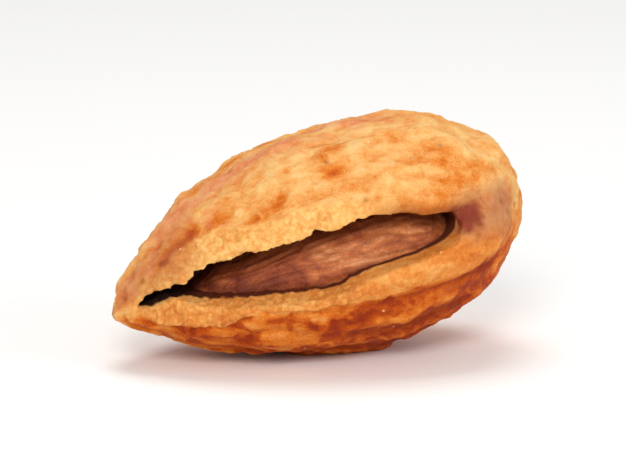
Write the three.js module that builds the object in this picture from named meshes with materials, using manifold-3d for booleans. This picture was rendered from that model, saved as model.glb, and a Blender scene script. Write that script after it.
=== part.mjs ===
// An almond in its shell, split along the seam, with the loose kernel lying inside.
//
// Frame: millimetres, +Z up, resting on z = 0 with the origin under the middle of its bounding box.
// The pointed tip is at -X, the blunt stem end at +X, and the split seam faces -Y.

import * as THREE from "three";
import { mergeVertices } from "three/addons/utils/BufferGeometryUtils.js";
import Module from "manifold-3d";

// Driving dimensions of the shell.
const SHELL_LENGTH = 32;
const SHELL_FRONT = 9.9; // reach from the long axis to the split seam
const SHELL_BACK = 10.3; // reach from the long axis to the closed seam
const SHELL_ABOVE = 8.5; // height of the upper valve over the seam
const SHELL_BELOW = 9.1; // depth of the lower valve under the seam
const WALL = 1.7; // along the seam
const ROOF_WALL = 3; // in the middle of the upper valve
const FLOOR_WALL = 2.6; // in the middle of the lower valve
const TIP_WALL = 2.6; // solid shell at the tip
const STEM_WALL = 2.4; // solid shell at the stem end

// How the seam lies: the shell rests on its lower valve, with its tip dipped and its front lifted.
const SEAM_RISE = 3.2; // from the middle to each end
const SEAM_BOW = 1.3; // how far its middle lies over the line between its ends
const SEAM_ROLL = 0.07; // how much higher it lies for each millimetre towards the front

// The kernel, and how far its middle lies from the middle of the shell.
const KERNEL_LENGTH = 21.2;
const KERNEL_FRONT = 6.8;
const KERNEL_BACK = 6.6;
const KERNEL_ABOVE = 3.9;
const KERNEL_BELOW = 4;
const KERNEL_MIDDLE = new THREE.Vector3(-0.2, -0.7, -1);

// The split: where it starts and ends along X. It is a crack at the tip and gapes from there on.
const SPLIT_FROM = -14.6;
const SPLIT_TO = 8.3;

// Its edges, as pairs of X and height over the seam.
const LOWER_EDGE = [
  [-13, -0.1], [-11.6, -0.2], [-10.2, -0.9], [-8, -1.3], [-4.2, -1.8], [-1.6, -2.2],
  [0.8, -1.7], [2.6, -1.4], [4.7, -1.3], [6.3, -0.95], [7.7, -0.5], [SPLIT_TO, 0.4],
];
const UPPER_EDGE = [
  [SPLIT_TO - 0.1, 1.5], [5.6, 1.9], [3, 2.6], [0.3, 2.8], [-4.6, 2.3], [-7.6, 2.05], [-9.6, 1.5], [-11, 1.1],
];
const CRACK_EDGE = [
  [-11.8, 0.6], [-13.6, 0.5], [SPLIT_FROM, 0],
];

const FOOT_CUT = 0.2; // depth of the small worn flat that the shell rests on

/**
 * How full a profile is at u, from 0 at either end to 1 at its peak.
 * Each end has a shoulder and a point: a bigger shoulder stays full for longer, and a point of 0.5 is round.
 */
function swell(u, peak, tip, stem) {
  const end = u < peak ? tip : stem;
  const away = u < peak ? (peak - u) / (peak + 1) : (u - peak) / (1 - peak);
  return Math.pow(Math.max(0, 1 - Math.pow(away, end.shoulder)), end.point);
}

const seamHeight = (u) => SEAM_RISE * u + SEAM_BOW * (1 - u * u);

// Each profile takes u, from -1 at the tip to 1 at the stem end.
const shellProfiles = {
  front: (u) => swell(u, 0.2, { shoulder: 1.9, point: 0.8 }, { shoulder: 2.3, point: 0.5 }),
  back: (u) => swell(u, 0.1, { shoulder: 1.7, point: 0.8 }, { shoulder: 2.2, point: 0.5 }),
  above: (u) => swell(u, 0.1, { shoulder: 2.4, point: 0.65 }, { shoulder: 2.6, point: 0.52 }),
  below: (u) => swell(u, 0.3, { shoulder: 1.8, point: 0.9 }, { shoulder: 1.65, point: 0.5 }),
};
const kernelProfiles = {
  front: (u) => swell(u, 0.25, { shoulder: 1.7, point: 0.75 }, { shoulder: 4, point: 0.5 }),
  back: (u) => swell(u, 0.15, { shoulder: 1.7, point: 0.75 }, { shoulder: 2.2, point: 0.5 }),
  above: (u) => swell(u, 0.2, { shoulder: 1.8, point: 0.7 }, { shoulder: 3.5, point: 0.5 }),
  below: (u) => swell(u, 0.2, { shoulder: 1.8, point: 0.7 }, { shoulder: 4, point: 0.5 }),
};

/**
 * A unit sphere with its poles on X, drawn out to an almond form.
 * reach holds its size to the front, back, above and below, and profiles says how full each is along X.
 */
function almondForm({ length, middle, reach, profiles, around, along }) {
  const geometry = new THREE.SphereGeometry(1, around, along).rotateZ(Math.PI / 2);
  const points = geometry.getAttribute("position");
  for (let i = 0; i < points.count; i++) {
    const u = THREE.MathUtils.clamp(points.getX(i), -1, 1);
    const radius = Math.hypot(points.getY(i), points.getZ(i));
    const side = radius > 1e-6 ? points.getY(i) / radius : 0;
    const lift = radius > 1e-6 ? points.getZ(i) / radius : 0;
    const across = side < 0 ? reach.front * profiles.front(u) : reach.back * profiles.back(u);
    const height = lift < 0 ? reach.below * profiles.below(u) : reach.above * profiles.above(u);
    const x = middle.x + (u * length) / 2;
    const seam = seamHeight((2 * x) / SHELL_LENGTH);
    const y = middle.y + side * across;
    points.setXYZ(i, x, y, middle.z + seam - SEAM_ROLL * y + lift * height);
  }
  return geometry;
}

/** The gape of the split, as a prism from in front of the shell to inside its cavity. */
function splitCutter() {
  const corner = ([x, lift]) =>
    new THREE.Vector2(x, seamHeight((2 * x) / SHELL_LENGTH) + SEAM_ROLL * SHELL_FRONT + lift);
  const outline = new THREE.Shape();
  outline.moveTo(...corner([SPLIT_FROM, 0]));
  for (const edge of [LOWER_EDGE, UPPER_EDGE, CRACK_EDGE]) {
    outline.splineThru(edge.map(corner));
  }
  const depth = SHELL_FRONT + 4;
  const prism = new THREE.ExtrudeGeometry(outline, { depth, curveSegments: 2, bevelEnabled: false });
  // The outline's y becomes +Z, and the prism runs from y = 0 out past the front of the shell.
  return prism.rotateX(Math.PI / 2);
}

const wasm = await Module();
wasm.setup();

/** A closed three.js geometry as a manifold-3d solid. */
function solid(geometry) {
  const bare = geometry.clone();
  bare.deleteAttribute("normal");
  bare.deleteAttribute("uv");
  const merged = mergeVertices(bare, 1e-4);
  return new wasm.Manifold(
    new wasm.Mesh({
      numProp: 3,
      vertProperties: new Float32Array(merged.attributes.position.array),
      triVerts: new Uint32Array(merged.index.array),
    }),
  );
}

/** A manifold-3d solid as a three.js geometry. */
function geometryOf(made) {
  const mesh = made.getMesh();
  const geometry = new THREE.BufferGeometry();
  geometry.setAttribute("position", new THREE.BufferAttribute(mesh.vertProperties, 3));
  geometry.setIndex(new THREE.BufferAttribute(mesh.triVerts, 1));
  geometry.computeVertexNormals();
  return geometry;
}

/** The shell before it is set down: one hollow piece, open along the split. */
function hollowShell() {
  const outside = almondForm({
    length: SHELL_LENGTH,
    middle: new THREE.Vector3(0, 0, 0),
    reach: { front: SHELL_FRONT, back: SHELL_BACK, above: SHELL_ABOVE, below: SHELL_BELOW },
    profiles: shellProfiles,
    around: 44,
    along: 36,
  });
  const cavity = almondForm({
    length: SHELL_LENGTH - TIP_WALL - STEM_WALL,
    middle: new THREE.Vector3((TIP_WALL - STEM_WALL) / 2, 0, 0),
    reach: {
      front: SHELL_FRONT - WALL,
      back: SHELL_BACK - WALL,
      above: SHELL_ABOVE - ROOF_WALL,
      below: SHELL_BELOW - FLOOR_WALL,
    },
    profiles: shellProfiles,
    around: 32,
    along: 24,
  });
  return solid(outside).subtract(solid(cavity)).subtract(solid(splitCutter()));
}

/** The kernel: one whole almond, lying loose in the shell. */
function kernelGeometry() {
  return almondForm({
    length: KERNEL_LENGTH,
    middle: KERNEL_MIDDLE,
    reach: { front: KERNEL_FRONT, back: KERNEL_BACK, above: KERNEL_ABOVE, below: KERNEL_BELOW },
    profiles: kernelProfiles,
    around: 32,
    along: 28,
  });
}

const shellSkin = new THREE.MeshStandardMaterial({ color: 0xd9934a, roughness: 0.85, metalness: 0 });
const kernelSkin = new THREE.MeshStandardMaterial({ color: 0x9a5533, roughness: 0.75, metalness: 0 });

// The shell is centred over the origin and let down until only the foot is under the table.
const hollow = hollowShell();
const { min, max } = hollow.boundingBox();
const settle = [-(min[0] + max[0]) / 2, -(min[1] + max[1]) / 2, -min[2] - FOOT_CUT];
const table = new THREE.BoxGeometry(SHELL_LENGTH * 2, SHELL_LENGTH * 2, 10).translate(0, 0, -5);

const almond = new THREE.Group();

const shell = new THREE.Mesh(geometryOf(hollow.translate(settle).subtract(solid(table))), shellSkin);
shell.name = "shell";
almond.add(shell);

const kernel = new THREE.Mesh(kernelGeometry().translate(...settle), kernelSkin);
kernel.name = "kernel";
almond.add(kernel);

export default almond;
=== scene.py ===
"""One almond in its split shell, resting on a plain floor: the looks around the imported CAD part.

Shapes are worked out in millimetres in the part's own frame: +X is the blunt stem end, -X the pointed tip,
-Y the split seam and +Z up. They are turned into metres when each mesh is handed to Blender.
"""

import math

import bpy
import numpy as np
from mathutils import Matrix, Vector


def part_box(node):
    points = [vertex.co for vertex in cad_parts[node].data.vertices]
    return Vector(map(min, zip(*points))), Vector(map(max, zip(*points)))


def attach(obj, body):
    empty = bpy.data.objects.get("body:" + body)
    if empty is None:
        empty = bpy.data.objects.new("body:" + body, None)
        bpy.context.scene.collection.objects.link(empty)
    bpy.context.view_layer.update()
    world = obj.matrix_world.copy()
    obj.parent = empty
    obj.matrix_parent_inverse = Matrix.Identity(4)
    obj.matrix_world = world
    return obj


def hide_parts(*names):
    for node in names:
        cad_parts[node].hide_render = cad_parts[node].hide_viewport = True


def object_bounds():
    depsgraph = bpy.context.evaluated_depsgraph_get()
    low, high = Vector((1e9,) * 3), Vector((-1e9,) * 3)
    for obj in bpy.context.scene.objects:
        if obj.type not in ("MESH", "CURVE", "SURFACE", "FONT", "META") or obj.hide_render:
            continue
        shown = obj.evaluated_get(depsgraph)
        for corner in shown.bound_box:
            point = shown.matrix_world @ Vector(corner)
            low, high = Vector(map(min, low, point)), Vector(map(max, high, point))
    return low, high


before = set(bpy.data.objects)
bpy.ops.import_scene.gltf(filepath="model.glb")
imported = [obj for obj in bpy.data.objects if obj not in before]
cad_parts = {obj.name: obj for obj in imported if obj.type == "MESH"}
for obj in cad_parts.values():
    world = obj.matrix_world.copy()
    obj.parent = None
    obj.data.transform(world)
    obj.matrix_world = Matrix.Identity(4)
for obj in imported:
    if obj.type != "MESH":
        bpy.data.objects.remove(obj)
cad_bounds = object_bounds()

MM = 0.001

# ---------------------------------------------------------------- sizes, in millimetres, as in the CAD part

SHELL_LENGTH = 32.0
WALL = 1.7
TIP_WALL = 2.6
STEM_WALL = 2.4
SHELL_REACH = {"front": 9.9, "back": 10.3, "above": 8.5, "below": 9.1}
CAVITY_REACH = {"front": 8.2, "back": 8.6, "above": 5.5, "below": 6.5}

SEAM_RISE = 3.2
SEAM_BOW = 1.3
SEAM_ROLL = 0.07

KERNEL_LENGTH = 21.2
KERNEL_MIDDLE = (-0.2, -0.7, -1.0)
KERNEL_REACH = {"front": 6.8, "back": 6.6, "above": 3.9, "below": 4.0}

# The split's edges, as pairs of x and height over the seam: the crack at the tip, then the gape.
SPLIT_FROM = -14.6
SPLIT_TO = 8.5
LOWER_EDGE = [
    (SPLIT_FROM, -0.15), (-13.4, -0.30), (-13.0, 0.0), (-12.3, 0.1), (-11.1, -0.3), (-8.8, -1.15),
    (-5.9, -1.6), (-2.3, -2.15), (-0.9, -2.15), (0.8, -1.6), (1.8, -1.35), (4.7, -1.2), (6.3, -0.95),
    (7.7, -0.55), (8.2, -0.2), (SPLIT_TO, 0.6),
]
UPPER_EDGE = [
    (SPLIT_FROM, 0.1), (-14.0, 0.65), (-12.2, 0.95), (-11.5, 0.75), (-11.15, 1.5), (-9.9, 1.9),
    (-8.9, 2.0), (-8.0, 2.2), (-6.3, 2.0), (-4.6, 2.2), (-3.3, 2.2), (-3.0, 2.75), (-2.3, 2.4),
    (-1.4, 2.3), (0.2, 2.85), (2.7, 2.65), (4.3, 2.35), (5.3, 1.95), (7.8, 1.65), (8.3, 1.5),
    (SPLIT_TO, 1.2),
]
# The foot of the thick band of broken shell that lies under the split, in the same way.
BAND_FOOT = [
    (-14.5, -0.9), (-13.3, -1.7), (-11.1, -2.5), (-8.9, -3.1), (-7.9, -2.7), (-6.4, -2.65), (-4.5, -3.0),
    (-2.1, -3.4), (-0.6, -3.7), (1.7, -3.85), (4.4, -3.45), (8.4, -3.25), (11.5, -2.75), (13.5, -1.8),
]
FOOT_CUT = 0.2  # depth of the small worn flat that the shell rests on

# Each profile is (peak, (shoulder, point) of the tip, (shoulder, point) of the stem end).
SHELL_PROFILES = {
    "front": (0.2, (1.9, 0.8), (2.3, 0.5)),
    "back": (0.1, (1.7, 0.8), (2.2, 0.5)),
    "above": (0.1, (2.4, 0.65), (2.6, 0.52)),
    "below": (0.3, (1.8, 0.9), (1.65, 0.5)),
}
KERNEL_PROFILES = {
    "front": (0.25, (1.7, 0.75), (4.0, 0.5)),
    "back": (0.15, (1.7, 0.75), (2.2, 0.5)),
    "above": (0.2, (1.8, 0.7), (3.5, 0.5)),
    "below": (0.2, (1.8, 0.7), (4.0, 0.5)),
}

VOXEL = 0.17  # spacing of the finished shell's surface
DEG = math.pi / 180

# ---------------------------------------------------------------- small helpers


def smooth(low, high, value):
    """0 below low, 1 above high and an easy curve between."""
    t = np.clip((value - low) / (high - low), 0.0, 1.0)
    return t * t * (3 - 2 * t)


def bell(value, width):
    """1 at 0, falling away to both sides."""
    return np.exp(-((value / width) ** 2))


def along_and_around(x, u, phi, stretch, turns):
    """Noise coordinates for waves that run lengthwise: stretch is their length, and turns their number.
    Towards the ends they are drawn in, so that the waves aren't pinched there."""
    slim = np.clip(1.25 * np.sqrt(np.clip(1 - u * u, 0, 1)), 0, 1)
    around = np.stack([np.cos(phi), np.sin(phi)], -1) * slim[:, None]
    return np.concatenate([x[:, None] / stretch, around * turns], 1)


class Noise:
    """Gradient noise and cell noise, the same on each run. Where a number is added to the coordinates
    that it is given, that number only picks another part of the noise."""

    def __init__(self, seed):
        rng = np.random.default_rng(seed)
        self.order = np.concatenate([rng.permutation(256)] * 2)
        slopes = rng.normal(size=(256, 3))
        self.slopes = slopes / np.linalg.norm(slopes, axis=1)[:, None]
        self.jitter = rng.random((256, 3))
        self.pick = rng.random(256)

    def _hash(self, cell):
        x, y, z = (cell & 255).T
        return self.order[self.order[self.order[x] + y] + z]

    def wave(self, p):
        """Smooth noise from about -1 to 1."""
        cell = np.floor(p).astype(int)
        f = p - cell
        w = f * f * f * (f * (f * 6 - 15) + 10)
        total = np.zeros(len(p))
        for corner in np.ndindex(2, 2, 2):
            c = np.array(corner)
            slope = self.slopes[self._hash(cell + c)]
            share = np.prod(np.where(c == 1, w, 1 - w), axis=1)
            total += share * ((f - c) * slope).sum(1)
        return total * 1.5

    def rough(self, p, octaves=3):
        """Waves on waves, from about -1 to 1."""
        total, size = 0.0, 1.0
        for k in range(octaves):
            total = total + self.wave(p * 2**k + 17.3 * k) * size
            size *= 0.5
        return total

    def cells(self, p):
        """Distance to the nearest scattered point, and that point's random number."""
        cell = np.floor(p).astype(int)
        best = np.full(len(p), 9.0)
        pick = np.zeros(len(p))
        for step in np.ndindex(3, 3, 3):
            c = cell + np.array(step) - 1
            h = self._hash(c)
            far = np.linalg.norm(c + self.jitter[h] - p, axis=1)
            near = far < best
            best[near] = far[near]
            pick[near] = self.pick[h][near]
        return best, pick


# ---------------------------------------------------------------- the almond's form


def swell(u, peak, tip, stem):
    """How full a profile is at u, from 0 at either end to 1 at its peak, as in the CAD part."""
    u = np.clip(u, -1.0, 1.0)
    before = u < peak
    away = np.where(before, (peak - u) / (peak + 1), (u - peak) / (1 - peak))
    shoulder = np.where(before, tip[0], stem[0])
    point = np.where(before, tip[1], stem[1])
    return np.maximum(0.0, 1 - away**shoulder) ** point


def seam_height(x):
    """Height of the seam over the middle of the form, where it crosses the long axis."""
    u = 2 * x / SHELL_LENGTH
    return SEAM_RISE * u + SEAM_BOW * (1 - u * u)


class Form:
    """An almond form. Its points are named by u along it, from -1 at the tip to 1 at the stem end,
    and phi around it, which is 0 at the front seam, 90 degrees on top and -90 degrees below."""

    def __init__(self, length, middle, reach, profiles):
        self.length, self.middle, self.reach, self.profiles = length, middle, reach, profiles

    def _half_axes(self, u, front, top):
        full = {side: self.reach[side] * swell(u, *self.profiles[side]) for side in self.reach}
        across = np.where(front, full["front"], full["back"])
        height = np.where(top, full["above"], full["below"])
        return np.maximum(across, 1e-4), np.maximum(height, 1e-4)

    def point(self, u, phi):
        """The point of the form that u and phi name."""
        across, height = self._half_axes(u, np.cos(phi) > 0, np.sin(phi) > 0)
        x = self.middle[0] + u * self.length / 2
        y = self.middle[1] - np.cos(phi) * across
        z = self.middle[2] + seam_height(x) - SEAM_ROLL * y + np.sin(phi) * height
        return np.stack([x, y, z], -1)

    def place(self, p):
        """u, phi and how far out p is: 1 on the form and less inside it."""
        x, y, z = p.T
        u = (x - self.middle[0]) / (self.length / 2)
        side = y - self.middle[1]
        lift = z - self.middle[2] - seam_height(x) + SEAM_ROLL * y
        across, height = self._half_axes(u, side < 0, lift > 0)
        a, b = side / across, lift / height
        return u, np.arctan2(b, -a), np.hypot(a, b)

    def onto(self, p):
        """The points of p moved straight out or in to the form."""
        x, y, z = p.T
        out = self.place(p)[2]
        side = y - self.middle[1]
        lift = z - self.middle[2] - seam_height(x) + SEAM_ROLL * y
        new_y = self.middle[1] + side / out
        new_z = self.middle[2] + seam_height(x) - SEAM_ROLL * new_y + lift / out
        return np.stack([x, new_y, new_z], -1)

    def outward(self, p):
        """The direction straight out of the form at p."""
        step = 0.02
        slope = np.stack(
            [self.place(p + step * axis)[2] - self.place(p - step * axis)[2] for axis in np.eye(3)], -1
        )
        return slope / np.maximum(np.linalg.norm(slope, axis=1), 1e-9)[:, None]

    def sphere(self, rows, columns):
        """A closed grid over the form: its points and faces, and u and phi for each point."""
        u = -np.cos(np.pi * np.arange(1, rows) / rows)
        phi = 2 * np.pi * np.arange(columns) / columns
        uu, pp = (a.ravel() for a in np.meshgrid(u, phi, indexing="ij"))
        uu = np.concatenate([uu, [-1.0, 1.0]])
        pp = np.concatenate([pp, [0.0, 0.0]])
        points = self.point(uu, pp)
        tip, stem = len(points) - 2, len(points) - 1
        faces = []
        for i in range(rows - 2):
            for j in range(columns):
                k = (j + 1) % columns
                a, b = i * columns, (i + 1) * columns
                faces.append((a + j, a + k, b + k, b + j))
        last = (rows - 2) * columns
        for j in range(columns):
            k = (j + 1) % columns
            faces.append((tip, k, j))
            faces.append((stem, last + j, last + k))
        return points, faces, uu, pp


def mesh_object(name, points, faces):
    mesh = bpy.data.meshes.new(name)
    mesh.from_pydata([tuple(p) for p in points], [], faces)
    mesh.validate()
    made = bpy.data.objects.new(name, mesh)
    bpy.context.scene.collection.objects.link(made)
    return made


def get_points(mesh):
    flat = np.empty(len(mesh.vertices) * 3)
    mesh.vertices.foreach_get("co", flat)
    return flat.reshape(-1, 3)


def set_points(mesh, points):
    mesh.vertices.foreach_set("co", np.ascontiguousarray(points, float).ravel())
    mesh.update()


def normals(mesh):
    flat = np.empty(len(mesh.vertices) * 3, np.float32)
    mesh.vertex_normals.foreach_get("vector", flat)
    return flat.reshape(-1, 3).astype(float)


def relax(mesh, points, share, rounds):
    """Each point moved towards the middle of its neighbours, by its own share."""
    flat = np.empty(len(mesh.edges) * 2, np.int32)
    mesh.edges.foreach_get("vertices", flat)
    a, b = flat.reshape(-1, 2).T
    count = np.bincount(a, minlength=len(points)) + np.bincount(b, minlength=len(points))
    for _ in range(rounds):
        total = np.stack(
            [
                np.bincount(a, points[b, k], len(points)) + np.bincount(b, points[a, k], len(points))
                for k in range(3)
            ],
            -1,
        )
        points = points + share[:, None] * (total / count[:, None] - points)
    return points


def spread(mesh, values, rounds):
    """Values smoothed over the mesh."""
    three = np.stack([values, values, values], -1)
    return relax(mesh, three, np.full(len(values), 0.6), rounds)[:, 0]


def store(mesh, **values):
    for name, value in values.items():
        layer = mesh.attributes.new(name, "FLOAT", "POINT")
        layer.data.foreach_set("value", np.ascontiguousarray(value, np.float32))


shell_form = Form(SHELL_LENGTH, (0.0, 0.0, 0.0), SHELL_REACH, SHELL_PROFILES)
cavity_form = Form(
    SHELL_LENGTH - TIP_WALL - STEM_WALL,
    ((TIP_WALL - STEM_WALL) / 2, 0.0, 0.0),
    CAVITY_REACH,
    SHELL_PROFILES,
)
kernel_form = Form(KERNEL_LENGTH, KERNEL_MIDDLE, KERNEL_REACH, KERNEL_PROFILES)

# Form coordinates have the seam's ends at +-SEAM_RISE. This moves them to where the CAD shell lies.
around_shell = shell_form.sphere(60, 90)[0]
shell_low, shell_high = (np.array(corner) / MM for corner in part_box("shell"))
settle = np.array(
    [
        0.0,
        shell_high[1] - around_shell[:, 1].max(),
        shell_low[2] - around_shell[:, 2].min() - FOOT_CUT,
    ]
)


def on_shell(x, degrees):
    """The point of the shell's form at x and at phi in degrees."""
    return shell_form.point(np.array([2 * x / SHELL_LENGTH]), np.array([degrees * DEG]))[0]


# ---------------------------------------------------------------- the shell, cut

crumbs = Noise(3)
relief = Noise(11)
patches = Noise(23)


def split_outline():
    """The split's lower and upper edge at steps along X, with their broken raggedness."""
    x = np.linspace(SPLIT_FROM, SPLIT_TO, 160)
    line = np.stack([x, 0 * x, 0 * x], -1)
    ragged = smooth(SPLIT_FROM, SPLIT_FROM + 2.0, x) * 0.8 + 0.2
    lower = np.interp(x, *zip(*LOWER_EDGE)) + ragged * (
        0.08 * crumbs.wave(line / 1.6) + 0.05 * crumbs.wave(line / 0.5 + 5)
    )
    upper = np.interp(x, *zip(*UPPER_EDGE)) + ragged * (
        0.10 * crumbs.wave(line / 1.9 + 9) + 0.10 * crumbs.wave(line / 0.6 + 13)
    )
    narrowest = 0.12
    upper = np.maximum(upper, lower + narrowest)
    base = seam_height(x) + SEAM_ROLL * SHELL_REACH["front"]
    return x, lower + base, upper + base


split_x, split_low, split_high = split_outline()
# The lower lip is broken on a slope: its outer edge lies this much under its inner one.
lip_slope = 0.10 + 0.22 * smooth(-12.0, -9.5, split_x) * smooth(3.0, 0.0, split_x)
front_y = -SHELL_REACH["front"] * swell(2 * split_x / SHELL_LENGTH, *SHELL_PROFILES["front"])
inner_y = np.minimum(front_y + WALL + 0.3, -0.5)
split_outer_low = split_low - lip_slope * (inner_y - front_y)


def split_prism():
    """A closed prism that cuts the split through the front wall."""
    n = len(split_x)
    far_y = -14.0
    rings = [
        (np.full(n, far_y), split_low - lip_slope * (inner_y - far_y), split_high),
        (inner_y, split_low, split_high),
        (np.zeros(n), split_low, split_high),
    ]
    points = np.concatenate(
        [np.stack([split_x, y, z], -1) for y, low, high in rings for z in (low, high)]
    )
    low_row, high_row = (lambda k: 2 * k * n), (lambda k: (2 * k + 1) * n)
    faces = []
    for i in range(n - 1):
        j = i + 1
        faces.append((low_row(0) + i, low_row(0) + j, high_row(0) + j, high_row(0) + i))
        faces.append((low_row(2) + j, low_row(2) + i, high_row(2) + i, high_row(2) + j))
        for k in (0, 1):
            faces.append((low_row(k) + j, low_row(k) + i, low_row(k + 1) + i, low_row(k + 1) + j))
            faces.append((high_row(k) + i, high_row(k) + j, high_row(k + 1) + j, high_row(k + 1) + i))
    for i, turn in ((0, 1), (n - 1, -1)):
        for k in (0, 1):
            ring = (low_row(k) + i, high_row(k) + i, high_row(k + 1) + i, low_row(k + 1) + i)
            faces.append(ring[::turn])
    return points, faces


def cut_shell():
    """The shell before its surface is worked: hollow, split and evenly meshed."""
    outside = mesh_object("shell_outside", *shell_form.sphere(150, 180)[:2])
    tools = [
        mesh_object("shell_cavity", *cavity_form.sphere(110, 140)[:2]),
        mesh_object("shell_split", *split_prism()),
    ]
    for tool in tools:
        cut = outside.modifiers.new(tool.name, "BOOLEAN")
        cut.operation = "DIFFERENCE"
        cut.solver = "MANIFOLD"
        cut.object = tool
    remesh = outside.modifiers.new("even", "REMESH")
    remesh.mode = "VOXEL"
    remesh.voxel_size = VOXEL
    graph = bpy.context.evaluated_depsgraph_get()
    mesh = bpy.data.meshes.new_from_object(outside.evaluated_get(graph))
    for used in [outside] + tools:
        bpy.data.objects.remove(used)
    return mesh


def even_shell():
    """The cut shell, its points put back on the true forms, and which of them lie on broken wall."""
    mesh = cut_shell()
    p = get_points(mesh)
    u, _, out = shell_form.place(p)
    deep = cavity_form.place(p)[2]
    # A point this near to a form belongs to it. The rest, apart from the ends, lies on broken wall.
    outer = np.abs(out - 1) < 0.012
    inner = (np.abs(deep - 1) < 0.02) & ~outer
    clean = p.copy()
    clean[outer] = shell_form.onto(p[outer])
    clean[inner] = cavity_form.onto(p[inner])
    # At the two ends the forms are too pinched for points to be put back on them.
    ends = np.abs(u) > 0.985
    clean[ends] = p[ends]
    rim = ~(outer | inner) & (np.abs(u) < 0.96)
    # Broken wall and ends are evened, and then everything is a little.
    p = relax(mesh, clean, np.where(rim | ends, 0.5, 0.0), 4)
    p = relax(mesh, p, np.where(ends, 0.5, 0.12), 2)
    return mesh, p, rim


def edge_distance(p, x, z):
    """Distance in the XZ plane from each point to the nearest point of the line through x and z."""
    fine_x = np.linspace(x[0], x[-1], len(x) * 2)
    fine_z = np.interp(fine_x, x, z)
    best = np.full(len(p), 1e9)
    for at_x, at_z in zip(fine_x, fine_z):
        np.minimum(best, (p[:, 0] - at_x) ** 2 + (p[:, 2] - at_z) ** 2, out=best)
    return np.sqrt(best)


# ---------------------------------------------------------------- the shell, its marks and shape

# Long grooves in the shell: phi in degrees, x from and to, half width, depth.
GROOVES = [
    (-27, 1.5, 12.0, 0.45, 0.36),
    (-48, 0.5, 10.0, 0.60, 0.30),
    (-66, -9.0, 8.0, 0.60, 0.25),
    (-90, -8.0, 10.0, 0.60, 0.20),
    (-113, -10.0, 7.0, 0.60, 0.25),
    (-137, -7.0, 11.0, 0.60, 0.22),
    (-158, -11.0, 8.0, 0.60, 0.25),
    (179, -13.0, 13.0, 0.40, 0.35),
    (154, -9.0, 12.0, 0.60, 0.22),
    (129, -11.0, 8.0, 0.60, 0.25),
    (107, -6.0, 11.5, 0.60, 0.22),
]

# Dents and swellings: x, phi in degrees, radius, height.
SWELLINGS = [
    (10.6, 66, 1.9, -0.45),
    (7.6, 74, 2.4, 0.35),
    (13.4, 50, 1.9, 0.45),
    (0.0, 52, 2.2, -0.18),
    (5.8, 46, 2.4, -0.20),
    (-6.5, 40, 2.4, -0.20),
    (-4.8, 66, 2.2, 0.20),
    (2.5, 36, 2.5, 0.15),
    (9.0, 30, 2.2, 0.15),
    (-11.0, 60, 1.2, -0.2),
    (5.0, -17, 3.0, 0.25),
    (9.5, -15, 2.5, 0.22),
    (5.0, -39, 2.5, 0.15),
]

# Patches of colour: x, phi in degrees, half length, half width, and how much paler (darker if under 0).
PATCHES = [
    (-7.1, 33, 3.0, 1.0, -0.28),
    (-9.8, 45, 1.6, 1.0, -0.16),
    (-11.0, 54, 0.7, 0.6, -0.34),
    (-5.4, 41, 1.8, 0.9, -0.18),
    (-0.4, 53, 1.1, 2.2, -0.28),
    (-7.7, 47, 0.35, 0.35, 0.50),
    (0.4, 34, 1.8, 1.3, -0.12),
    (7.1, 46, 1.7, 1.2, -0.12),
    (3.9, 51, 1.4, 1.2, 0.10),
    (9.9, 34, 2.0, 1.6, -0.14),
    (-2.8, 53, 1.2, 1.1, 0.08),
    (-3.2, 68, 1.8, 0.9, 0.08),
    (-12.2, 40, 1.5, 1.4, -0.40),
    (-12.9, 43, 0.4, 0.4, -0.40),
    (-12.3, -3, 1.1, 0.45, -0.50),
    (-10.3, -43, 2.8, 0.8, -0.30),
    (-4.9, -29, 1.3, 0.5, -0.25),
    (-1.2, -38, 2.2, 1.1, -0.35),
    (-5.1, -41, 1.0, 0.6, 0.06),
    (-2.0, -33, 0.4, 0.4, 0.30),
    # This patch paints a highlight along the ridge between the two lower grooves.
    (5.0, -38, 4.0, 0.8, 0.12),
    (6.0, -15, 3.5, 0.9, 0.08),
]

BARE_SPOT = (9.0, 7)  # x and phi in degrees of the place beside the split where the skin is off
BARE_SIZE = np.array([1.45, 1.6, 1.05])
BARE_BLUSH = (9.6, 8)  # the brown round it
STEM_BLUSH = (12.2, 9)  # the dull brown between it and the stem end
STEM_SCAR = 1.9  # radius of the hollow where the stem was
SCAR_MIDDLE = (-0.2, SEAM_RISE)  # its y and z
SCAR_FROM = 12.0  # the x past which it lies

# Along X, where the band under the split begins and is full, and where it ends and is still full.
BAND_BEGINS = (-15.6, -14.4)
BAND_ENDS = (14.5, 12.5)

TYPICAL_RADIUS = 9.0  # turns how far out or in a point is into about millimetres


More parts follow.
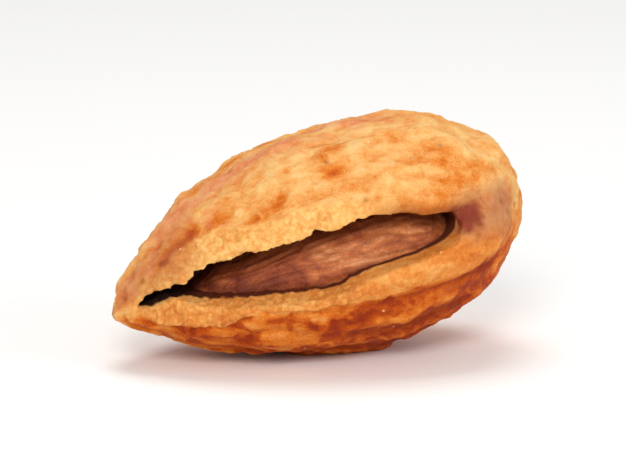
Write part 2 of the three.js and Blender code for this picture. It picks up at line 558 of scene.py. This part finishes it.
class Marks:
    """Where each point of the even shell lies, and how much of each broad mark it bears, from 0 to 1."""

    def __init__(self, p, rim):
        self.p, self.rim = p, rim
        self.x = p[:, 0]
        self.u, self.phi, self.out = shell_form.place(p)
        self.skin = self._skin()
        centre = np.stack([0 * self.x, seam_height(self.x)], -1)
        self.radius = np.linalg.norm(p[:, 1:] - centre, axis=1)
        # How high over the front seam it lies, and whether it is on the half that the split is in.
        self.lift = p[:, 2] - seam_height(self.x) - SEAM_ROLL * SHELL_REACH["front"]
        self.front = smooth(-1.0, -2.0, p[:, 1])
        # The smoother side that the split faces, and how far away the split's two edges are.
        self.facing = smooth(120 * DEG, 60 * DEG, np.abs(self.phi - 10 * DEG))
        self.to_low = edge_distance(p, split_x, split_outer_low)
        self.to_high = edge_distance(p, split_x, split_high)
        self.over = self.to_high < self.to_low
        # Worn skin, grooves, the bare spot and the two lips.
        self.worn = self._worn()
        self.groove, self.groove_depth = self._grooves()
        self.bare = self._bare()
        self.upper_band, self.lower_band = self._bands()
        self.band = np.maximum(self.upper_band, self.lower_band) * self.front * (1 - self.bare)
        # The lips are crumbly from the tip to the middle, and the upper one turns in from there on.
        self.crumbly = smooth(3.0, -1.5, self.x) * 0.65 + 0.35
        self.turned = smooth(0.5, 4.0, self.x) * self.over * self.front
        self.scar, self.scar_height = self._scar()
        # Pits and reddish colour above the tip, and dull colour over the crack.
        self.tip_zone = smooth(-0.45, -0.7, self.u) * self._between(15, 35, 110, 140)
        self.tip_dull = smooth(-0.62, -0.76, self.u) * self._between(12, 28, 65, 90)

    def _between(self, start, full, fading, end):
        """1 from full to fading and 0 before start and after end, all phi in degrees."""
        return smooth(start * DEG, full * DEG, self.phi) * smooth(end * DEG, fading * DEG, self.phi)

    def _skin(self):
        """1 on the outside, 0 on the cavity's wall."""
        deep = cavity_form.place(self.p)[2]
        into = np.clip((1 - self.out) * TYPICAL_RADIUS, 0, TYPICAL_RADIUS)
        off = np.clip((deep - 1) * TYPICAL_RADIUS, 0.001, TYPICAL_RADIUS)
        return smooth(0.05, 0.95, np.clip(off / (off + into), 0, 1))

    def ribbon(self, stretch, turns, shift):
        return along_and_around(self.x, self.u, self.phi, stretch, turns) + shift

    def _worn(self):
        """The skin is worn off between ragged streaks that run from tip to stem."""
        warp = 0.45 * np.stack([relief.wave(self.p / 2.4 + shift) for shift in (50, 60, 70)], -1)
        wide = relief.wave(self.ribbon(4.5, 4.2, 62) + warp)
        narrow = relief.wave(self.ribbon(1.9, 9.5, 75) + warp)
        return smooth(-0.10, 0.32, wide + 0.45 * narrow)

    def _grooves(self):
        """How much of a groove there is, and how deep, in lines that wander a little."""
        x = self.x
        mark, depths = np.zeros(len(x)), np.zeros(len(x))
        wander = 5.0 * DEG * relief.wave(np.stack([x / 7, 0 * x + 3.1, 0 * x], -1))
        for angle, x0, x1, width, depth in GROOVES:
            turn = (self.phi - angle * DEG - wander + np.pi) % (2 * np.pi) - np.pi
            line = bell(turn * self.radius, width)
            line = line * smooth(x0 - 1.5, x0 + 1.5, x) * smooth(x1 + 1.5, x1 - 1.5, x)
            depths += depth * line * (0.75 + 0.25 * relief.wave(self.ribbon(3, 1.0, angle)))
            mark = np.maximum(mark, line)
        return mark, depths

    def _bare(self):
        """The ragged place where the skin is off."""
        far = np.linalg.norm((self.p - on_shell(*BARE_SPOT)) / BARE_SIZE, axis=1)
        ragged = 0.45 * crumbs.wave(self.p / 0.9) + 0.15 * crumbs.wave(self.p / 0.3)
        return smooth(1.25, 0.7, far + ragged)

    def _bands(self):
        """The broken lips over and under the split."""
        x, lift = self.x, self.lift
        ragged = 0.30 * crumbs.wave(self.p / 2.0 + 40) + 0.14 * crumbs.wave(self.p / 0.7 + 44)
        width = 1.05 + 0.75 * smooth(1.0, -3.0, x)
        width = width * smooth(SPLIT_FROM - 1.5, SPLIT_FROM + 3, x)
        upper = smooth(width + 0.25, width - 0.25, self.to_high + ragged) * (lift > 0)
        upper = upper * smooth(SPLIT_TO + 1.5, SPLIT_TO - 0.5, x)
        foot = np.interp(x, *zip(*BAND_FOOT)) + 0.7 * ragged
        under = smooth(0.9, -0.2, lift - 1.6 * smooth(SPLIT_TO, SPLIT_TO - 1.0, x)) * ~self.over
        lower = smooth(foot - 0.12, foot + 0.22, lift) * under
        lower = lower * smooth(*BAND_ENDS, x) * smooth(*BAND_BEGINS, x)
        return upper, lower

    def _scar(self):
        """The scar of the stem: a shallow hollow with an uneven rim."""
        p = self.p
        at_stem = self.x > SCAR_FROM
        far = np.hypot(p[:, 1] - SCAR_MIDDLE[0], p[:, 2] - SCAR_MIDDLE[1])
        far = far + 0.25 * relief.wave(p / 1.2 + 22)
        hollow = smooth(STEM_SCAR + 0.25, STEM_SCAR - 0.45, far) * at_stem
        rim = bell(far - STEM_SCAR - 0.3, 0.5)
        return hollow, (0.4 * rim - 1.6 * hollow) * at_stem

    def height(self):
        """How far the surface stands out of the plain form: waves, streaks, grooves, lips and scar."""
        p = self.p
        height = 0.24 * relief.wave(self.ribbon(13, 2.2, 0)) + 0.15 * relief.wave(self.ribbon(6.5, 5.0, 31))
        height += 0.17 * relief.wave(p / 3.0 + 3) + 0.10 * relief.wave(p / 1.5 + 7)
        height += (0.30 - 0.15 * self.facing) * (self.worn - 0.5) - self.groove_depth
        for at, angle, size, rise in SWELLINGS:
            height += rise * bell(np.linalg.norm(p - on_shell(at, angle), axis=1), size)
        lower_puff = 0.10 + 0.22 * smooth(2.0, -2.0, self.x)
        height += (0.20 * self.upper_band + lower_puff * self.lower_band) * self.front
        to_edge = np.where(self.front > 0, np.minimum(self.to_low, self.to_high), 99.0)
        height -= np.where(self.over, 0.30, 0.12) * bell(to_edge, 0.35) * self.front + 0.22 * self.bare
        height += self.scar_height - 0.50 * self.turned * bell(self.to_high, 0.8)
        calm = smooth(1.0, 0.93, np.abs(self.u)) * 0.7 + 0.3
        return height * self.skin * calm


class FineMarks:
    """The small marks on the worked shell, each from 0 to 1: flakes, pits, crumbs and fibres."""

    def __init__(self, marks, mesh, p):
        x = marks.x
        # The dark lower side, which fades towards the stem end and partly towards the back.
        self.low_side = smooth(-10 * DEG, -38 * DEG, marks.phi) * smooth(-180 * DEG, -120 * DEG, marks.phi)
        self.low_side = self.low_side * smooth(15.5, 9.0, x) * (0.4 + 0.6 * smooth(3.0, -4.0, p[:, 1]))
        warp = 0.5 * np.stack([patches.wave(p / 1.8 + shift) for shift in (0, 9, 18)], -1)
        self.flaked = smooth(
            -0.03, 0.06, patches.rough(p * np.array([0.75, 1.0, 1.0]) / 2.6 + warp, 3)
        )
        far, pick = patches.cells(p / 1.5 + 4)
        self.pit = smooth(0.24, 0.08, far) * (pick < 0.22 + 0.5 * marks.tip_zone) * (1 - marks.band)
        self.grain = 1 - smooth(0.0, 0.75, crumbs.cells(p / 0.62)[0])
        self.fibre = crumbs.wave(np.stack([x / 0.30, p[:, 2] / 1.5, p[:, 1] / 1.5], -1))
        # Light reaches the cut faces only so deep, and less deep in the narrow crack at the tip.
        depth = marks.radius * (1 / np.clip(marks.out, 0.05, 1) - 1)
        from_crack = smooth(-12.6, -10.8, x)
        self.unlit = smooth(0.5 + 0.9 * from_crack, 1.1 + 0.75 * from_crack, depth)
        self.broken = smooth(0.1, 0.6, spread(mesh, marks.rim.astype(float), 3)) * marks.front
        self.lip_rough = np.maximum(marks.band, self.broken) * (1 - marks.bare) * marks.crumbly

    def height(self, marks, p):
        """How far the small marks stand out of the worked shell."""
        height = 0.11 * (1 - marks.band) * (1 - 0.55 * marks.facing) * (self.flaked - 0.5)
        height -= 0.20 * self.pit * marks.skin
        height += 0.045 * crumbs.rough(p / 0.75 + 21, 2) * (0.5 + 0.5 * marks.skin)
        height += self.lip_rough * (0.20 * (self.grain - 0.4) + 0.08 * self.fibre)
        share = np.maximum(0.25 + 0.75 * marks.skin, self.lip_rough)
        return height * share * (1 - 0.8 * marks.bare)


# ---------------------------------------------------------------- the shell, its colour values


def shell_tone(marks, fine, p):
    """How pale the shell is at each place, from 0 for dark to 1 for pale."""
    x, phi, low_side = marks.x, marks.phi, fine.low_side
    upper = smooth(-8 * DEG, 8 * DEG, phi) * smooth(180 * DEG, 150 * DEG, phi)
    tone = 0.58 + 0.20 * upper - (0.26 - 0.04 * smooth(0, 4, x)) * low_side
    tone += 0.12 * patches.rough(p / 3.0 + 60, 2)
    tone += (0.18 - 0.06 * marks.facing) * (marks.worn - 0.5)
    tone += (0.08 + 0.14 * low_side) * (fine.flaked - 0.5)
    tone += 0.22 * marks.lower_band * (1 - marks.band * marks.crumbly)
    # Along the grooves the shell is darker, partly its own colour and partly painted shade, more so on the
    # dark lower side.
    tone -= (0.14 + 0.16 * low_side * smooth(-1, 2, x)) * marks.groove
    tone -= 0.4 * marks.scar + 0.18 * marks.tip_dull + 0.13 * marks.lower_band * marks.crumbly
    # Painted shade along the upper lip's edge where it turns in and faces down.
    tone -= 0.32 * marks.turned * bell(marks.to_high, 1.3)
    # Painted shade on the front below the seam, over the stem half, deepest past x 7.
    painted_end_shade = (0.13 + 0.08 * smooth(7, 9, x)) * smooth(1.0, 4.5, x) * smooth(15.0, 11.5, x)
    tone -= painted_end_shade * smooth(6 * DEG, -6 * DEG, phi) * smooth(1.0, -6.0, p[:, 1])
    for at, angle, length, width, amount in PATCHES:
        middle = on_shell(at, angle) + settle
        across = np.hypot(p[:, 1] - middle[1], p[:, 2] - middle[2] - 0.2 * (x - at))
        far = np.hypot((x - at) / length, across / width) + 0.22 * patches.wave(p / 1.1 + 30)
        tone += amount * smooth(1.5, 0.3, far) * (1 - 0.6 * marks.band)
    return tone


def blush(p, spot, squash, far, near):
    """1 within near of a spot on the shell, 0 past far."""
    return smooth(far, near, np.linalg.norm((p - on_shell(*spot) - settle) * np.array(squash), axis=1))


def store_shell_colours(mesh, marks, fine, p):
    """What the material needs to know about each place."""
    x = marks.x
    stem_blush = blush(p, STEM_BLUSH, (1.0, 1.0, 1.25), 3.6, 1.0)
    bare_blush = blush(p, BARE_BLUSH, (0.9, 1.0, 1.15), 3.1, 1.3)
    ridge = bell((marks.phi - 86 * DEG) * marks.radius, 1.5) * smooth(-15, -12, x) * smooth(8, 2, x)
    red = ridge * smooth(-0.5, 0.3, patches.wave(p / 2.0 + 80) + 0.25)
    red = np.maximum(red, 0.7 * marks.tip_zone * smooth(-0.1, 0.3, patches.wave(p / 1.3 + 90)))
    # Painted shade on the underside of the upper lip where it turns in.
    lip_shade = 1.1 * marks.turned * bell(marks.to_high, 0.6) * (1 - marks.bare)
    store(
        mesh,
        tone=np.clip(shell_tone(marks, fine, p), 0, 1),
        red=np.clip(np.maximum(red, 0.5 * stem_blush), 0, 1),
        lip=np.clip(fine.lip_rough, 0, 1),
        bare=np.clip(marks.bare, 0, 1),
        # inside: where painted shade goes, on the cavity's wall and on the broken faces deeper than light
        # reaches
        inside=np.maximum((1 - marks.skin) * ~marks.rim, fine.unlit * np.maximum(fine.broken, marks.rim)),
        # hollow: painted shade in the pits, in the grooves of the dark lower side and under the turned-in
        # upper lip
        hollow=np.clip(fine.pit + 0.55 * marks.groove * fine.low_side + lip_shade, 0, 1),
        dull=np.clip(np.max([stem_blush, 0.9 * bare_blush, 0.5 * marks.tip_dull], axis=0), 0, 1),
        # where that painted shade deepens to near-black, as shadow in the narrow crack at the tip
        crack=smooth(-9.5, -12.0, x),
    )


def make_shell():
    """The shell, its surface worked twice: the broad shape first, then the fine one on top of it."""
    mesh, p, rim = even_shell()
    marks = Marks(p, rim)
    p = p + shell_form.outward(p) * marks.height()[:, None]
    set_points(mesh, p)
    fine = FineMarks(marks, mesh, p)
    p = p + normals(mesh) * fine.height(marks, p)[:, None]

    # The foot is worn flat where it lies on the floor.
    p = p + settle
    p[:, 2] = np.maximum(p[:, 2], 0.0)
    set_points(mesh, p * MM)

    store_shell_colours(mesh, marks, fine, p)
    mesh.polygons.foreach_set("use_smooth", np.ones(len(mesh.polygons), bool))
    mesh.name = "almond_shell"
    made = bpy.data.objects.new("almond_shell", mesh)
    bpy.context.scene.collection.objects.link(made)
    return made


# ---------------------------------------------------------------- the kernel


def make_kernel():
    points, faces, u, phi = kernel_form.sphere(180, 200)
    made = mesh_object("almond_kernel", points, faces)
    mesh = made.data
    wrinkles = Noise(5)
    x = points[:, 0]
    full = np.sqrt(np.clip(1 - u * u, 0, 1))  # 1 in the middle, 0 at both ends
    sway = 0.6 * wrinkles.wave(points / 4.0)[:, None]

    def lines(stretch, turns, shift, swayed=1.0):
        """Waves that run from tip to stem and sway a little."""
        return wrinkles.wave(along_and_around(x, u, phi, stretch, turns) + shift + sway * swayed)

    wide = lines(8, 3.5, 0, 0.5)
    narrow = lines(4, 9.0, 5)
    thin = lines(2.2, 20.0, 9, 1.6)
    furrow = np.clip(1 - 2.2 * np.abs(lines(6, 6.0, 14)), 0, 1) ** 3
    grain = wrinkles.wave(points / 0.35)

    # A fold in the skin, pale along its top, with a crease under it.
    fold = bell(x - 0.1, 1.3) * bell((phi - 3 * DEG) * KERNEL_REACH["above"], 0.22)
    crease = bell(x - 0.6, 1.3) * bell((phi + 6 * DEG) * KERNEL_REACH["above"], 0.22)
    height = 0.18 * wide + 0.09 * narrow + 0.02 * thin - 0.14 * furrow + 0.02 * grain
    height += 0.14 * fold - 0.14 * crease
    points = points + normals(mesh) * (height * (0.3 + 0.7 * full))[:, None] + settle
    set_points(mesh, points * MM)

    tone = 0.54 + 0.20 * wide + 0.16 * narrow + 0.06 * thin + 0.6 * fold
    # Painted light towards the stem end and painted shade towards the tip, partly also the skin's own
    # darker colour there.
    tone += 0.05 * smooth(1.0, 5.0, x) - 0.35 * smooth(-0.5, -8.0, x)
    store(
        mesh,
        tone=np.clip(tone, 0, 1),
        # furrow: where painted shade goes, in the furrows and in the crease under the fold
        furrow=np.clip(furrow + 0.8 * crease, 0, 1),
        # end: where the ends get painted shade, where they curve away
        end=1 - full,
    )
    mesh.polygons.foreach_set("use_smooth", np.ones(len(mesh.polygons), bool))
    return made


# ---------------------------------------------------------------- materials


def linear(r, g, b):
    """A colour from its 8-bit sRGB numbers."""
    return tuple(((c / 255 + 0.055) / 1.055) ** 2.4 if c > 10 else c / 3294.6 for c in (r, g, b)) + (1.0,)


class Nodes:
    """A material's node tree, with short calls for the nodes used here."""

    def __init__(self, name):
        self.material = bpy.data.materials.new(name)
        self.material.use_nodes = True
        self.tree = self.material.node_tree
        self.shader = self.tree.nodes["Principled BSDF"]
        self.place = self.new("ShaderNodeTexCoord").outputs["Object"]

    def new(self, kind, **settings):
        node = self.tree.nodes.new(kind)
        for name, value in settings.items():
            setattr(node, name, value)
        return node

    def put(self, socket, value):
        if isinstance(value, bpy.types.NodeSocket):
            self.tree.links.new(value, socket)
        else:
            socket.default_value = value

    def attribute(self, name):
        return self.new("ShaderNodeAttribute", attribute_name=name).outputs["Fac"]

    def math(self, operation, a, b=0.0, clamp=False):
        node = self.new("ShaderNodeMath", operation=operation, use_clamp=clamp)
        self.put(node.inputs[0], a)
        self.put(node.inputs[1], b)
        return node.outputs[0]

    def span(self, value, low, high, to_low=0.0, to_high=1.0):
        node = self.new("ShaderNodeMapRange", clamp=True)
        self.put(node.inputs["Value"], value)
        for name, number in (
            ("From Min", low), ("From Max", high), ("To Min", to_low), ("To Max", to_high),
        ):
            node.inputs[name].default_value = number
        return node.outputs["Result"]

    def noise(self, size, detail=3.0, rough=0.55, place=None, distortion=0.0):
        """Noise whose features are about size millimetres wide."""
        node = self.new("ShaderNodeTexNoise")
        self.put(node.inputs["Vector"], place or self.place)
        node.inputs["Scale"].default_value = 1 / (size * MM)
        node.inputs["Detail"].default_value = detail
        node.inputs["Roughness"].default_value = rough
        node.inputs["Distortion"].default_value = distortion
        return node.outputs["Fac"]

    def cells(self, size, place=None):
        node = self.new("ShaderNodeTexVoronoi")
        self.put(node.inputs["Vector"], place or self.place)
        node.inputs["Scale"].default_value = 1 / (size * MM)
        return node.outputs["Distance"], node.outputs["Color"]

    def stretched(self, x, y, z):
        node = self.new("ShaderNodeMapping")
        self.put(node.inputs["Vector"], self.place)
        node.inputs["Scale"].default_value = (x, y, z)
        return node.outputs["Vector"]

    def ramp(self, value, stops):
        node = self.new("ShaderNodeValToRGB")
        self.put(node.inputs["Fac"], value)
        marks = node.color_ramp.elements
        while len(marks) < len(stops):
            marks.new(0.5)
        for mark, (at, colour) in zip(marks, stops):
            mark.position = at
            mark.color = colour
        return node.outputs["Color"]

    def mix(self, share, a, b, kind="MIX"):
        node = self.new("ShaderNodeMix", data_type="RGBA", blend_type=kind)
        self.put(node.inputs["Factor"], share)
        self.put(node.inputs["A"], a)
        self.put(node.inputs["B"], b)
        return next(o for o in node.outputs if o.type == "RGBA")

    def bump(self, height, distance, strength=1.0, after=None):
        """Bump whose full height is distance millimetres."""
        node = self.new("ShaderNodeBump")
        self.put(node.inputs["Height"], height)
        node.inputs["Distance"].default_value = distance * MM
        node.inputs["Strength"].default_value = strength
        if after is not None:
            self.put(node.inputs["Normal"], after)
        return node.outputs["Normal"]


def shell_material():
    m = Nodes("almond_shell")
    tone, red, lip = m.attribute("tone"), m.attribute("red"), m.attribute("lip")
    bare, inside, hollow = m.attribute("bare"), m.attribute("inside"), m.attribute("hollow")
    dull = m.attribute("dull")

    # Along the shell, colour runs in short streaks. Everywhere it is mottled and grainy.
    streak = m.noise(1.0, 4, 0.6, m.stretched(0.28, 1, 1))
    mottle = m.noise(0.9, 4, 0.6, distortion=0.6)
    grain = m.noise(0.16, 3, 0.7)
    level = m.math("ADD", tone, m.span(streak, 0.3, 0.7, -0.16, 0.16))
    level = m.math("ADD", level, m.span(mottle, 0.3, 0.7, -0.13, 0.13))
    level = m.math("ADD", level, m.span(grain, 0.3, 0.7, -0.10, 0.10), clamp=True)
    colour = m.ramp(
        level,
        [
            (0.0, linear(144, 44, 0)),
            (0.25, linear(186, 78, 2)),
            (0.5, linear(214, 120, 34)),
            (0.75, linear(227, 161, 88)),
            (1.0, linear(232, 188, 120)),
        ],
    )
    blush = m.mix(m.span(mottle, 0.35, 0.65), linear(212, 112, 72), linear(226, 146, 104))
    colour = m.mix(m.math("MULTIPLY", red, 0.75), colour, blush)

    crumb = m.noise(0.35, 3, 0.65)
    lip_colour = m.ramp(
        m.math("ADD", m.span(crumb, 0.3, 0.7, 0.0, 0.55), m.span(tone, 0.1, 0.9, 0.0, 0.45)),
        [
            (0.0, linear(184, 96, 30)),
            (0.4, linear(222, 144, 66)),
            (0.75, linear(238, 187, 108)),
            (1.0, linear(246, 211, 148)),
        ],
    )
    colour = m.mix(m.math("MULTIPLY", lip, 0.85), colour, lip_colour)

    dull_colour = m.mix(mottle, linear(146, 76, 42), linear(196, 126, 82))
    colour = m.mix(m.math("MULTIPLY", dull, 0.75), colour, dull_colour)
    bare_colour = m.mix(m.noise(0.8, 3, 0.5), linear(118, 44, 26), linear(152, 70, 46))
    colour = m.mix(bare, colour, bare_colour)
    # The cavity's wall and the unlit broken faces get painted shade in dark brown, deepening to a
    # near-black painted shadow in the narrow crack at the tip.
    wall = m.mix(m.noise(1.5, 3, 0.5), linear(64, 22, 10), linear(104, 46, 24))
    wall = m.mix(m.attribute("crack"), wall, linear(34, 10, 4))
    colour = m.mix(m.span(inside, 0.1, 0.9), colour, wall)
    # Painted shade: the pits, the lower side's grooves and the turned-in upper lip's underside are mixed
    # towards dark orange-brown.
    colour = m.mix(m.math("MULTIPLY", hollow, 0.55), colour, linear(136, 56, 6))

    # Pale specks, like grains of salt, are scattered thinly.
    far, pick = m.cells(1.3)
    lone = m.new("ShaderNodeSeparateColor")
    m.put(lone.inputs["Color"], pick)
    speck = m.math(
        "MULTIPLY", m.span(far, 0.09, 0.06), m.math("GREATER_THAN", lone.outputs["Red"], 0.85)
    )
    colour = m.mix(m.math("MULTIPLY", speck, 0.55), colour, linear(255, 226, 180))

    m.put(m.shader.inputs["Base Color"], colour)
    m.put(m.shader.inputs["Roughness"], m.span(m.noise(0.6, 3), 0.3, 0.7, 0.62, 0.86))
    m.shader.inputs["Specular IOR Level"].default_value = 0.2
    m.shader.inputs["Subsurface Weight"].default_value = 0.12
    m.shader.inputs["Subsurface Radius"].default_value = (1.0, 0.45, 0.2)
    m.shader.inputs["Subsurface Scale"].default_value = 0.6 * MM

    first = m.bump(m.noise(0.55, 4, 0.65), 0.10)
    second = m.bump(m.noise(0.14, 3, 0.7), 0.05, after=first)
    m.put(m.shader.inputs["Normal"], second)
    return m.material


def kernel_material():
    m = Nodes("almond_kernel_skin")
    tone, furrow, end = m.attribute("tone"), m.attribute("furrow"), m.attribute("end")
    along = m.stretched(0.22, 1, 1)
    streak = m.noise(0.5, 4, 0.65, along)
    grain = m.noise(0.16, 3, 0.7)
    blotch = m.noise(1.3, 4, 0.6, m.stretched(0.6, 1, 1), distortion=0.5)
    level = m.math("ADD", tone, m.span(streak, 0.3, 0.7, -0.10, 0.10))
    level = m.math("ADD", level, m.span(blotch, 0.3, 0.7, -0.32, 0.32))
    level = m.math("ADD", level, m.span(grain, 0.3, 0.7, -0.16, 0.16), clamp=True)
    colour = m.ramp(
        level,
        [
            (0.0, linear(118, 48, 24)),
            (0.35, linear(160, 80, 42)),
            (0.65, linear(186, 106, 56)),
            (1.0, linear(220, 150, 98)),
        ],
    )
    # Painted shade in the furrows and the crease.
    colour = m.mix(m.math("MULTIPLY", furrow, 0.5), colour, linear(98, 42, 26))
    # Painted shade darkens the kernel towards both ends, where it curves away.
    colour = m.mix(m.span(end, 0.6, 1.0, 0.0, 0.5), colour, linear(112, 54, 34))
    m.put(m.shader.inputs["Base Color"], colour)
    m.put(m.shader.inputs["Roughness"], m.span(grain, 0.3, 0.7, 0.5, 0.72))
    m.shader.inputs["Specular IOR Level"].default_value = 0.3
    m.shader.inputs["Subsurface Weight"].default_value = 0.08
    m.shader.inputs["Subsurface Radius"].default_value = (1.0, 0.4, 0.2)
    m.shader.inputs["Subsurface Scale"].default_value = 0.5 * MM
    first = m.bump(m.noise(0.4, 4, 0.65, m.stretched(0.4, 1, 1)), 0.07)
    second = m.bump(grain, 0.035, after=first)
    m.put(m.shader.inputs["Normal"], second)
    return m.material


shell = make_shell()
shell.data.materials.clear()
shell.data.materials.append(shell_material())
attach(shell, "root")
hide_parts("shell")

kernel = make_kernel()
kernel.data.materials.append(kernel_material())
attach(kernel, "root")
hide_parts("kernel")

# ---------------------------------------------------------------- floor, light and camera

# Angles in degrees, and everything else here in metres.
CAMERA_AZIMUTH = -20
CAMERA_ELEVATION = 12
CAMERA_DISTANCE = 0.45
FRAME_WIDTH = 0.047  # how much of the world the picture's width shows
LAMP_TARGET = Vector((0, 0, 0.008))


def floor():
    bpy.ops.mesh.primitive_plane_add(size=4.0)
    made = bpy.context.object
    made.name = "floor"
    material = bpy.data.materials.new("floor")
    material.use_nodes = True
    shader = material.node_tree.nodes["Principled BSDF"]
    shader.inputs["Base Color"].default_value = (0.97, 0.965, 0.955, 1)
    shader.inputs["Roughness"].default_value = 0.75
    made.data.materials.append(material)


def lamp(name, spot, size, power, colour=(1, 1, 1)):
    light = bpy.data.lights.new(name, "AREA")
    light.shape = "DISK"
    light.size = size
    light.energy = power
    light.color = colour
    made = bpy.data.objects.new(name, light)
    made.location = spot
    made.rotation_euler = (LAMP_TARGET - Vector(spot)).to_track_quat("-Z", "Y").to_euler()
    bpy.context.scene.collection.objects.link(made)


def camera():
    low, high = cad_bounds
    middle = (Vector(low) + Vector(high)) / 2
    a, e = math.radians(CAMERA_AZIMUTH), math.radians(CAMERA_ELEVATION)
    back = Vector((math.sin(a) * math.cos(e), -math.cos(a) * math.cos(e), math.sin(e)))
    data = bpy.data.cameras.new("camera")
    data.sensor_width = 36
    data.lens = data.sensor_width * CAMERA_DISTANCE / FRAME_WIDTH
    made = bpy.data.objects.new("camera", data)
    made.location = middle + back * CAMERA_DISTANCE
    made.rotation_euler = (-back).to_track_quat("-Z", "Y").to_euler()
    bpy.context.scene.collection.objects.link(made)
    bpy.context.scene.camera = made


floor()
lamp("key", (-0.15, -0.31, 0.215), 0.16, 0.91, (1.0, 0.985, 0.96))
lamp("fill", (0.25, -0.22, 0.12), 0.20, 0.32)
lamp("top", (0.03, 0.10, 0.32), 0.20, 0.46)
camera()

world = bpy.data.worlds.new("studio")
bpy.context.scene.world = world
world.use_nodes = True
world.node_tree.nodes["Background"].inputs["Color"].default_value = (1, 1, 1, 1)
world.node_tree.nodes["Background"].inputs["Strength"].default_value = 0.42
bpy.context.scene.view_settings.view_transform = "Standard"
